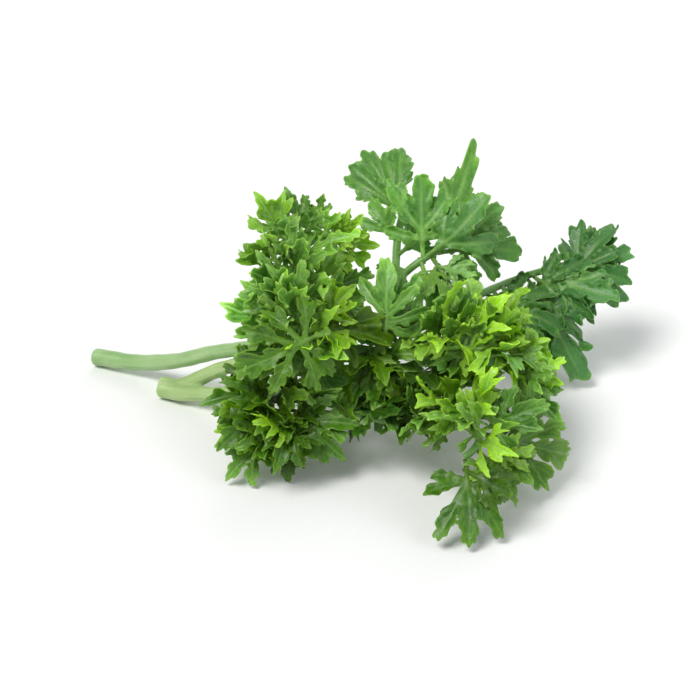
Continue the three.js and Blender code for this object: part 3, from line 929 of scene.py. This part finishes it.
def closed_tube(rings, rows, cuts):
    """Points, triangles and marks of a tube whose ends close on a point each."""
    count = len(rings)
    index = np.arange(count * STEM_AROUND).reshape(count, STEM_AROUND)
    a, b = index[:-1], np.roll(index[:-1], -1, 1)
    c, d = np.roll(index[1:], -1, 1), index[1:]
    faces = [np.stack([a, b, c], -1).reshape(-1, 3), np.stack([a, c, d], -1).reshape(-1, 3)]
    points = np.vstack([rings.reshape(-1, 3), rings[0].mean(0), rings[-1].mean(0)])
    first, last = count * STEM_AROUND, count * STEM_AROUND + 1
    faces.append(np.stack([np.full(STEM_AROUND, first), np.roll(index[0], -1), index[0]], -1))
    faces.append(np.stack([np.full(STEM_AROUND, last), index[-1], np.roll(index[-1], -1)], -1))
    place = np.vstack([rows.reshape(-1, 3), rows[0].mean(0), rows[-1].mean(0)])
    cut = np.concatenate([cuts.ravel(), cuts[0, :1], cuts[-1, :1]])
    return points, np.vstack(faces), {"on_stem": place, "cut": cut}


def grow_stem(node, tube, material):
    """The skin that takes the place of a stem's solid."""
    points, faces, marks = tube
    piece = new_piece(node + "_skin", points, faces, np.zeros(len(faces), int), [material], marks)
    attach(piece, "root")
    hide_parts(node)


def knots_of(rings, back=0.0):
    """Stem rings as knots, with the first one moved back along the stem."""
    knots = np.array([[*centre, radius] for centre, radius in rings])
    knots[0, :3] -= back * unit(knots[1, :3] - knots[0, :3])
    return knots


def middle_line(stalk):
    """Points along the middle of a leafstalk."""
    return smooth_line(knots_of(stem_rings(stalk)[0]), STALK_STEP)[:, :3]


def forked_stem():
    """The forked stem as one skin of two arms that grow apart from a shared cut end."""
    stub, upper, lower = stem_rings("stem_forked")
    if upper[0][0][2] < lower[0][0][2]:
        upper, lower = lower, upper
    end, radius = stub[0]
    arms = []
    for arm, aside in ((upper, ARM_ASIDE), (lower, -ARM_ASIDE)):
        start = end + np.array([0, aside, 0])
        knots = knots_of(list(reversed(arm)))
        middle = start + (knots[0, :3] - start) * ARM_MIDDLE
        middle[2] = start[2] + ARM_RISE
        roots = [[*start, radius * ARM_RADII[0]], [*middle, radius * ARM_RADII[1]]]
        arms.append(np.vstack([roots, knots]))
    points, faces, _ = joined([stem_tube(knots, rib_depth=0.015, cut_start=True) for knots in arms])
    draft = new_piece("fork_draft", points, faces, np.zeros(len(faces), int), [], {})
    fuse = draft.modifiers.new("fuse", "REMESH")
    fuse.mode = "VOXEL"
    fuse.voxel_size = FORK_VOXEL * MM
    smooth = draft.modifiers.new("smooth", "SMOOTH")
    smooth.iterations = FORK_SMOOTHING
    shape = draft.evaluated_get(bpy.context.evaluated_depsgraph_get()).to_mesh()
    shape.calc_loop_triangles()
    points = np.empty(len(shape.vertices) * 3)
    shape.vertices.foreach_get("co", points)
    points = points.reshape(-1, 3) / MM
    faces = np.empty(len(shape.loop_triangles) * 3, int)
    shape.loop_triangles.foreach_get("vertices", faces)
    bpy.data.objects.remove(draft, do_unlink=True)
    return points, faces.reshape(-1, 3), fork_marks(points, arms)


def fork_marks(points, arms):
    """Each skin point's place along and around its nearest arm, and how near it is to the cut."""
    best = np.full(len(points), np.inf)
    place = np.zeros((len(points), 3))
    for knots in arms:
        line = smooth_line(knots, STEM_STEP)[:, :3]
        across, over, _ = frames_along(line)
        along = np.concatenate([[0], np.cumsum(np.linalg.norm(np.diff(line, axis=0), axis=1))])
        gaps = np.linalg.norm(points[:, None] - line[None], axis=2)
        near = gaps.argmin(1)
        gap = gaps[np.arange(len(points)), near]
        offset = points - line[near]
        here = np.stack([(offset * across[near]).sum(1), (offset * over[near]).sum(1), along[near]], 1)
        closer = gap < best
        best = np.where(closer, gap, best)
        place[closer] = here[closer]
    outward = unit(arms[0][0, :3] - arms[0][1, :3])
    beyond = (points - arms[0][0, :3]) @ outward
    return {"on_stem": place, "cut": smoothstep(*CUT_EDGE, beyond)}


# ---------------------------------------------------------------- finishes

class Wiring:
    """A node tree being wired: add() makes a node, sets or links its inputs, and returns it."""

    def __init__(self, tree):
        self.tree = tree

    def add(self, kind, inputs=None, **settings):
        node = self.tree.nodes.new("ShaderNode" + kind)
        for name, value in settings.items():
            setattr(node, name, value)
        self.fill(node.inputs, inputs or {})
        return node

    def fill(self, sockets, values):
        """Sets sockets to values, or links them to the sockets given for them."""
        for name, value in values.items():
            if isinstance(value, bpy.types.NodeSocket):
                self.tree.links.new(value, sockets[name])
            else:
                sockets[name].default_value = value

    def mark(self, name, output="Fac"):
        """A mesh's own value of this name."""
        return self.add("Attribute", attribute_name=name).outputs[output]

    def plus(self, a, b):
        return self.add("Math", {0: a, 1: b}, operation="ADD").outputs[0]

    def times(self, a, b, clamp=False):
        return self.add("Math", {0: a, 1: b}, operation="MULTIPLY", use_clamp=clamp).outputs[0]

    def at_least(self, a, b):
        return self.add("Math", {0: a, 1: b}, operation="MAXIMUM").outputs[0]

    def blend(self, share, a, b):
        """Colour a where the share is 0, colour b where it is 1."""
        return self.add("Mix", {0: share, 6: a, 7: b}, data_type="RGBA").outputs[2]

    def noise(self, place, scale, detail=2.0, rough=0.5):
        inputs = {"Vector": place, "Scale": scale, "Detail": detail, "Roughness": rough}
        return self.add("TexNoise", inputs).outputs["Fac"]

    def between(self, value, low, high):
        """0 where the value is low, 1 where it is high."""
        inputs = {"Value": value, "From Min": low, "From Max": high}
        return self.add("MapRange", inputs, interpolation_type="SMOOTHSTEP").outputs[0]


def tint(*parts):
    """A colour whose red, green and blue are given from 0 to 255 as the eye sees them, made linear."""
    parts = [part / 255 for part in parts]
    return (*[part / 12.92 if part < 0.04045 else ((part + 0.055) / 1.055) ** 2.4 for part in parts], 1)


def new_group(name, inputs, outputs):
    """A shader node group with named sockets: inputs as {name: default}, outputs as {name: kind}."""
    tree = bpy.data.node_groups.new(name, "ShaderNodeTree")
    for title, default in inputs.items():
        kind = {float: "NodeSocketFloat", tuple: "NodeSocketColor", str: "NodeSocketVector"}[type(default)]
        socket = tree.interface.new_socket(title, in_out="INPUT", socket_type=kind)
        if not isinstance(default, str):
            socket.default_value = default
    for title, kind in outputs.items():
        tree.interface.new_socket(title, in_out="OUTPUT", socket_type=kind)
    wiring = Wiring(tree)
    return wiring, tree.nodes.new("NodeGroupInput").outputs, tree.nodes.new("NodeGroupOutput").inputs


# How far a leaf's green goes from dark to bright: for a light of one, from painted shade at the hub to
# painted light at the tips, and the least it may be;
# then how rich the green is, which is more where it is darker, and the least of it
LIGHT_SHARE = 0.75
HUB_PAINTED_SHADE, TIP_PAINTED_LIGHT = 0.74, 0.44
LEAST_BRIGHT = 0.3
RICH, RICH_LOSS = 1.35, -0.35
LEAST_RICH = 1.04
RELIEF_DEPTH = 0.0001
STEM_BUMP = 0.3
PAPER_TONES = ((0.86, 0.86, 0.86, 1), (0.9, 0.9, 0.9, 1))
JUICY = {"Subsurface Weight": 0.2, "Subsurface Radius": (0.4, 0.9, 0.2), "Subsurface Scale": 0.001}


def leaf_flesh_group():
    """The colour and fine relief of a leaf's skin, shared by its two sides."""
    inputs = {
        "Place": "vector", "Vein": 0.0, "Rim": 0.0, "Reach": 0.0, "Lime": 0.0, "Cool": 0.0, "Light": 0.0,
        "Deep": tint(12, 82, 5), "Mid": tint(92, 150, 44), "Vein Color": tint(158, 198, 112),
        "Lime Color": tint(148, 196, 38), "Cool Color": tint(92, 147, 88), "Vein Strength": 0.62,
    }
    outputs = {"Color": "NodeSocketColor", "Relief": "NodeSocketFloat", "Gloss": "NodeSocketFloat"}
    wires, given, out = new_group("leaf_flesh", inputs, outputs)
    place = given["Place"]
    # Broad patches, clouds within them, flecks, and the small cells of the skin
    broad = wires.between(wires.noise(place, 0.22, 3.0), 0.3, 0.7)
    cloud = wires.between(wires.noise(place, 0.9, 4.0, 0.6), 0.25, 0.75)
    fleck = wires.noise(place, 5.0, 2.0)
    cells = wires.add("TexVoronoi", {"Vector": place, "Scale": 2.6}, feature="F1").outputs["Distance"]

    tone = wires.plus(wires.times(broad, 0.55), wires.times(cloud, 0.45))
    color = wires.blend(tone, given["Deep"], given["Mid"])
    color = wires.blend(given["Cool"], color, given["Cool Color"])
    patchy = wires.plus(wires.times(tone, 0.7), 0.4)
    lime = wires.times(given["Lime"], patchy, clamp=True)
    color = wires.blend(lime, color, given["Lime Color"])
    pale_rim = wires.times(given["Rim"], 0.35)
    color = wires.blend(pale_rim, color, given["Vein Color"])
    lime_rim = wires.times(given["Rim"], given["Lime"], clamp=True)
    color = wires.blend(lime_rim, color, given["Lime Color"])
    vein = wires.times(given["Vein"], given["Vein Strength"])
    color = wires.blend(vein, color, given["Vein Color"])

    # Painted shade and light: Light sets each blade's painted shade and light for where it lies in the
    # bunch, and Reach paints shade at the hub and light at the tips; the grain is the skin's own flecks
    # and cells
    painted_shade_and_tone = wires.at_least(wires.plus(wires.times(given["Light"], LIGHT_SHARE), 1.0), LEAST_BRIGHT)
    painted_shade_and_tone = wires.times(painted_shade_and_tone, wires.plus(wires.times(given["Reach"], TIP_PAINTED_LIGHT), HUB_PAINTED_SHADE))
    grain = wires.plus(wires.times(fleck, 0.4), wires.times(cells, -0.35))
    painted_shade_and_tone = wires.times(painted_shade_and_tone, wires.plus(grain, 1.0))
    rich = wires.at_least(wires.plus(wires.times(painted_shade_and_tone, RICH_LOSS), RICH), LEAST_RICH)
    skin = wires.add("HueSaturation", {"Color": color, "Saturation": rich, "Value": painted_shade_and_tone})
    relief = wires.plus(wires.times(cells, 0.7), wires.times(fleck, 0.3))
    wires.fill(out, {"Color": skin.outputs[0], "Relief": relief, "Gloss": wires.between(cloud, 0.0, 1.0)})
    return wires.tree


def stem_flesh_group():
    """The streaked skin of a stem, with the pale wet flesh of its cut end."""
    inputs = {
        "Place": "vector", "Cut": 0.0, "Skin": tint(150, 186, 124), "Streak": tint(112, 158, 88),
        "Flesh": tint(196, 214, 168),
    }
    outputs = {"Color": "NodeSocketColor", "Relief": "NodeSocketFloat"}
    wires, given, out = new_group("stem_flesh", inputs, outputs)
    place = given["Place"]
    stretched = wires.add("VectorMath", {0: place, 1: (1.0, 1.0, 0.05)}, operation="MULTIPLY").outputs[0]
    streak = wires.between(wires.noise(stretched, 1.6, 3.0, 0.6), 0.35, 0.68)
    patch = wires.between(wires.noise(place, 0.16, 3.0), 0.35, 0.7)
    pith = wires.between(wires.noise(place, 3.0, 2.0), 0.3, 0.7)
    skin = wires.blend(wires.times(streak, 0.55), given["Skin"], given["Streak"])
    skin = wires.blend(wires.times(patch, 0.35), skin, given["Flesh"])
    flesh = wires.blend(wires.times(pith, 0.4), given["Flesh"], given["Skin"])
    relief = wires.plus(wires.times(streak, 0.5), wires.times(wires.noise(stretched, 6.0, 2.0), 0.5))
    wires.fill(out, {"Color": wires.blend(given["Cut"], skin, flesh), "Relief": relief})
    return wires.tree


def new_material(name):
    """An empty material and the wiring of its nodes."""
    material = bpy.data.materials.new(name)
    material.use_nodes = True
    material.node_tree.nodes.clear()
    return material, Wiring(material.node_tree)


def finish_material(wires, color, rough, relief, bump, settings):
    """The surface of a material, with its relief raised by a bump of this strength."""
    inputs = {"Height": relief, "Strength": bump, "Distance": RELIEF_DEPTH}
    normal = wires.add("Bump", inputs).outputs[0]
    inputs = {"Base Color": color, "Roughness": rough, "Normal": normal, **settings}
    surface = wires.add("BsdfPrincipled", inputs).outputs[0]
    wires.add("OutputMaterial", {"Surface": surface})


LEAF_MARKS = ("Vein", "Rim", "Reach", "Lime", "Cool", "Light")


def leaf_side(name, group, values, rough, bump, shine):
    """The skin of one side of a leaf, with its roughness between two values."""
    material, wires = new_material(name)
    inputs = {title: wires.mark(title.lower()) for title in LEAF_MARKS}
    inputs["Place"] = wires.mark("on_blade", "Vector")
    flesh = wires.add("Group", {**inputs, **values}, node_tree=group).outputs
    rough = wires.add("MapRange", {"Value": flesh["Gloss"], "To Min": rough[0], "To Max": rough[1]})
    settings = {**JUICY, "Specular IOR Level": shine}
    finish_material(wires, flesh["Color"], rough.outputs[0], flesh["Relief"], bump, settings)
    return material


def stem_skin(name, group, values, rough):
    """The skin of a stem or of the leafstalks."""
    material, wires = new_material(name)
    inputs = {"Place": wires.mark("on_stem", "Vector"), "Cut": wires.mark("cut")}
    flesh = wires.add("Group", {**inputs, **values}, node_tree=group).outputs
    settings = {**JUICY, "Subsurface Scale": 0.002}
    finish_material(wires, flesh["Color"], rough, flesh["Relief"], STEM_BUMP, settings)
    return material


def floor_paper():
    """Plain white paper with a faint tooth."""
    material, wires = new_material("floor_paper")
    place = wires.add("TexCoord").outputs["Object"]
    tooth = wires.noise(place, 900.0, 3.0)
    color = wires.blend(tooth, *PAPER_TONES)
    finish_material(wires, color, 0.9, tooth, 0.1, {"Specular IOR Level": 0.1})
    return material


# ---------------------------------------------------------------- the room

FLOOR_REACH = 3.0  # metres from its middle to its edges
FLOOR_CELLS = 12
FLOOR_HEIGHT = -0.05  # millimetres, just clear of the bunch
VIEW_DISTANCE = 0.5
VIEW_TILT = 30  # degrees that the view looks down
VIEW_WIDTH = 0.14  # metres that it takes in across the bunch
SENSOR = 36
ROOM_LIGHT = 0.42
# Where the view looks: across and back from the middle of the bunch's box, and up from its foot
VIEW_AIM = (-0.018, -0.081, 0.468)
COOL_WHITE = (0.95, 0.98, 1)


def lay_floor(material):
    """A wide plain floor that the bunch lies on."""
    side = np.linspace(-FLOOR_REACH, FLOOR_REACH, FLOOR_CELLS + 1) / MM
    x, y = np.meshgrid(side, side, indexing="ij")
    points = np.stack([x.ravel(), y.ravel(), np.full(x.size, FLOOR_HEIGHT)], 1)
    index = np.arange(x.size).reshape(x.shape)
    a, b, c, d = (k.ravel() for k in (index[:-1, :-1], index[1:, :-1], index[1:, 1:], index[:-1, 1:]))
    faces = np.vstack([np.stack([a, b, c], 1), np.stack([a, c, d], 1)])
    floor = new_piece("floor", points, faces, np.zeros(len(faces), int), [material], {})


def aim(thing, place, target):
    """Stands a lamp or a camera at a place, turned to a target."""
    thing.location = place
    thing.rotation_euler = (Vector(target) - Vector(place)).to_track_quat("-Z", "Y").to_euler()


def hang(name, kind, place, target, power, color):
    """A lamp turned to a target. Gives back the light in it."""
    light = bpy.data.lights.new(name, kind)
    light.energy = power
    light.color = color
    lamp = bpy.data.objects.new(name, light)
    bpy.context.scene.collection.objects.link(lamp)
    aim(lamp, place, target)
    return light


def hang_disk(name, place, target, width, power, color):
    """A soft round lamp, this many metres wide."""
    light = hang(name, "AREA", place, target, power, color)
    light.shape = "DISK"
    light.size = width


def hang_sun(name, place, power, spread, color):
    """A far soft light from the direction of a place, spread over so many degrees."""
    hang(name, "SUN", place, (0, 0, 0), power, color).angle = math.radians(spread)


def set_camera(target):
    """The camera, in front of the bunch and above it."""
    tilt = math.radians(VIEW_TILT)
    camera = bpy.data.objects.new("camera", bpy.data.cameras.new("camera"))
    camera.data.sensor_width = SENSOR
    camera.data.lens = SENSOR * VIEW_DISTANCE / VIEW_WIDTH
    camera.data.clip_start = 0.01
    bpy.context.scene.collection.objects.link(camera)
    away = Vector((0, -math.cos(tilt), math.sin(tilt))) * VIEW_DISTANCE
    aim(camera, Vector(target) + away, target)
    bpy.context.scene.camera = camera


def light_room(target):
    """A bright even room, with the strongest light from above and to the left."""
    world = bpy.data.worlds.new("room")
    world.use_nodes = True
    background = world.node_tree.nodes["Background"]
    background.inputs["Color"].default_value = (*COOL_WHITE, 1)
    background.inputs["Strength"].default_value = ROOM_LIGHT
    bpy.context.scene.world = world
    bpy.context.scene.view_settings.view_transform = "Standard"
    hang_sun("key", (-0.35, -0.3, 0.75), 2.3, 28, (1, 0.99, 0.96))
    hang_sun("rim", (0.2, 0.7, 0.5), 0.7, 40, (1, 1, 0.97))
    hang_disk("fill", (0.55, -0.35, 0.45), target, 0.5, 1.2, COOL_WHITE)


# ---------------------------------------------------------------- the bunch

leaf_flesh = leaf_flesh_group()
leaf_upper = leaf_side("leaf_upper", leaf_flesh, {}, rough=(0.31, 0.5), bump=0.55, shine=0.42)
leaf_under = leaf_side("leaf_under", leaf_flesh, {
    "Deep": tint(76, 134, 28), "Mid": tint(122, 178, 60), "Vein Color": tint(160, 188, 116),
    "Lime Color": tint(152, 202, 48), "Cool Color": tint(102, 156, 100), "Vein Strength": 0.6,
}, rough=(0.5, 0.65), bump=0.45, shine=0.3)
leaf_sides = [leaf_upper, leaf_under]
stem_flesh = stem_flesh_group()
long_stem_skin = stem_skin("stem_skin", stem_flesh, {}, rough=0.38)
forked_stem_skin = stem_skin("forked_stem_skin", stem_flesh, {
    "Skin": tint(166, 192, 128), "Streak": tint(130, 166, 92), "Flesh": tint(206, 220, 168),
}, rough=0.38)
leafstalk_skin = stem_skin("leafstalk_skin", stem_flesh, {
    "Skin": tint(112, 158, 80), "Streak": tint(78, 126, 52), "Flesh": tint(140, 180, 100),
}, rough=0.4)

long_stem = stem_tube(knots_of(stem_rings("stem_long")[0]), rib_depth=0.02, cut_start=True)
grow_stem("stem_long", long_stem, long_stem_skin)
grow_stem("stem_forked", forked_stem(), forked_stem_skin)
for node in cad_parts:
    if node.startswith("leafstalk"):
        rings = max(stem_rings(node), key=lambda line: line[0][1])
        skin = stem_tube(knots_of(rings, ROOT_IN), rib_depth=0.025, phase=1)
        grow_stem(node, skin, leafstalk_skin)
leaflets = sorted(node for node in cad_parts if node.startswith("leaflet"))
for number, node in enumerate(leaflets):
    stalk = "leafstalk_back" if node == "leaflet_back_1" else STALK_OF[set_of(node)]
    grow_leaflet(node, middle_line(stalk), leaf_sides, number)
for number, stalk in enumerate(SPRIGS):
    grow_sprigs(stalk, leaf_sides, number)
for number, stalk in enumerate(SINGLE_BLADES):
    grow_single_blades(stalk, leaf_sides, leafstalk_skin, number)

lay_floor(floor_paper())
low_corner, high_corner = CAD_BOX
middle = (low_corner + high_corner) / 2
size = high_corner - low_corner
across, back, up = VIEW_AIM
look_at = (middle.x + across * size.x, middle.y + back * size.y, low_corner.z + up * size.z)
set_camera(look_at)
light_room(look_at)
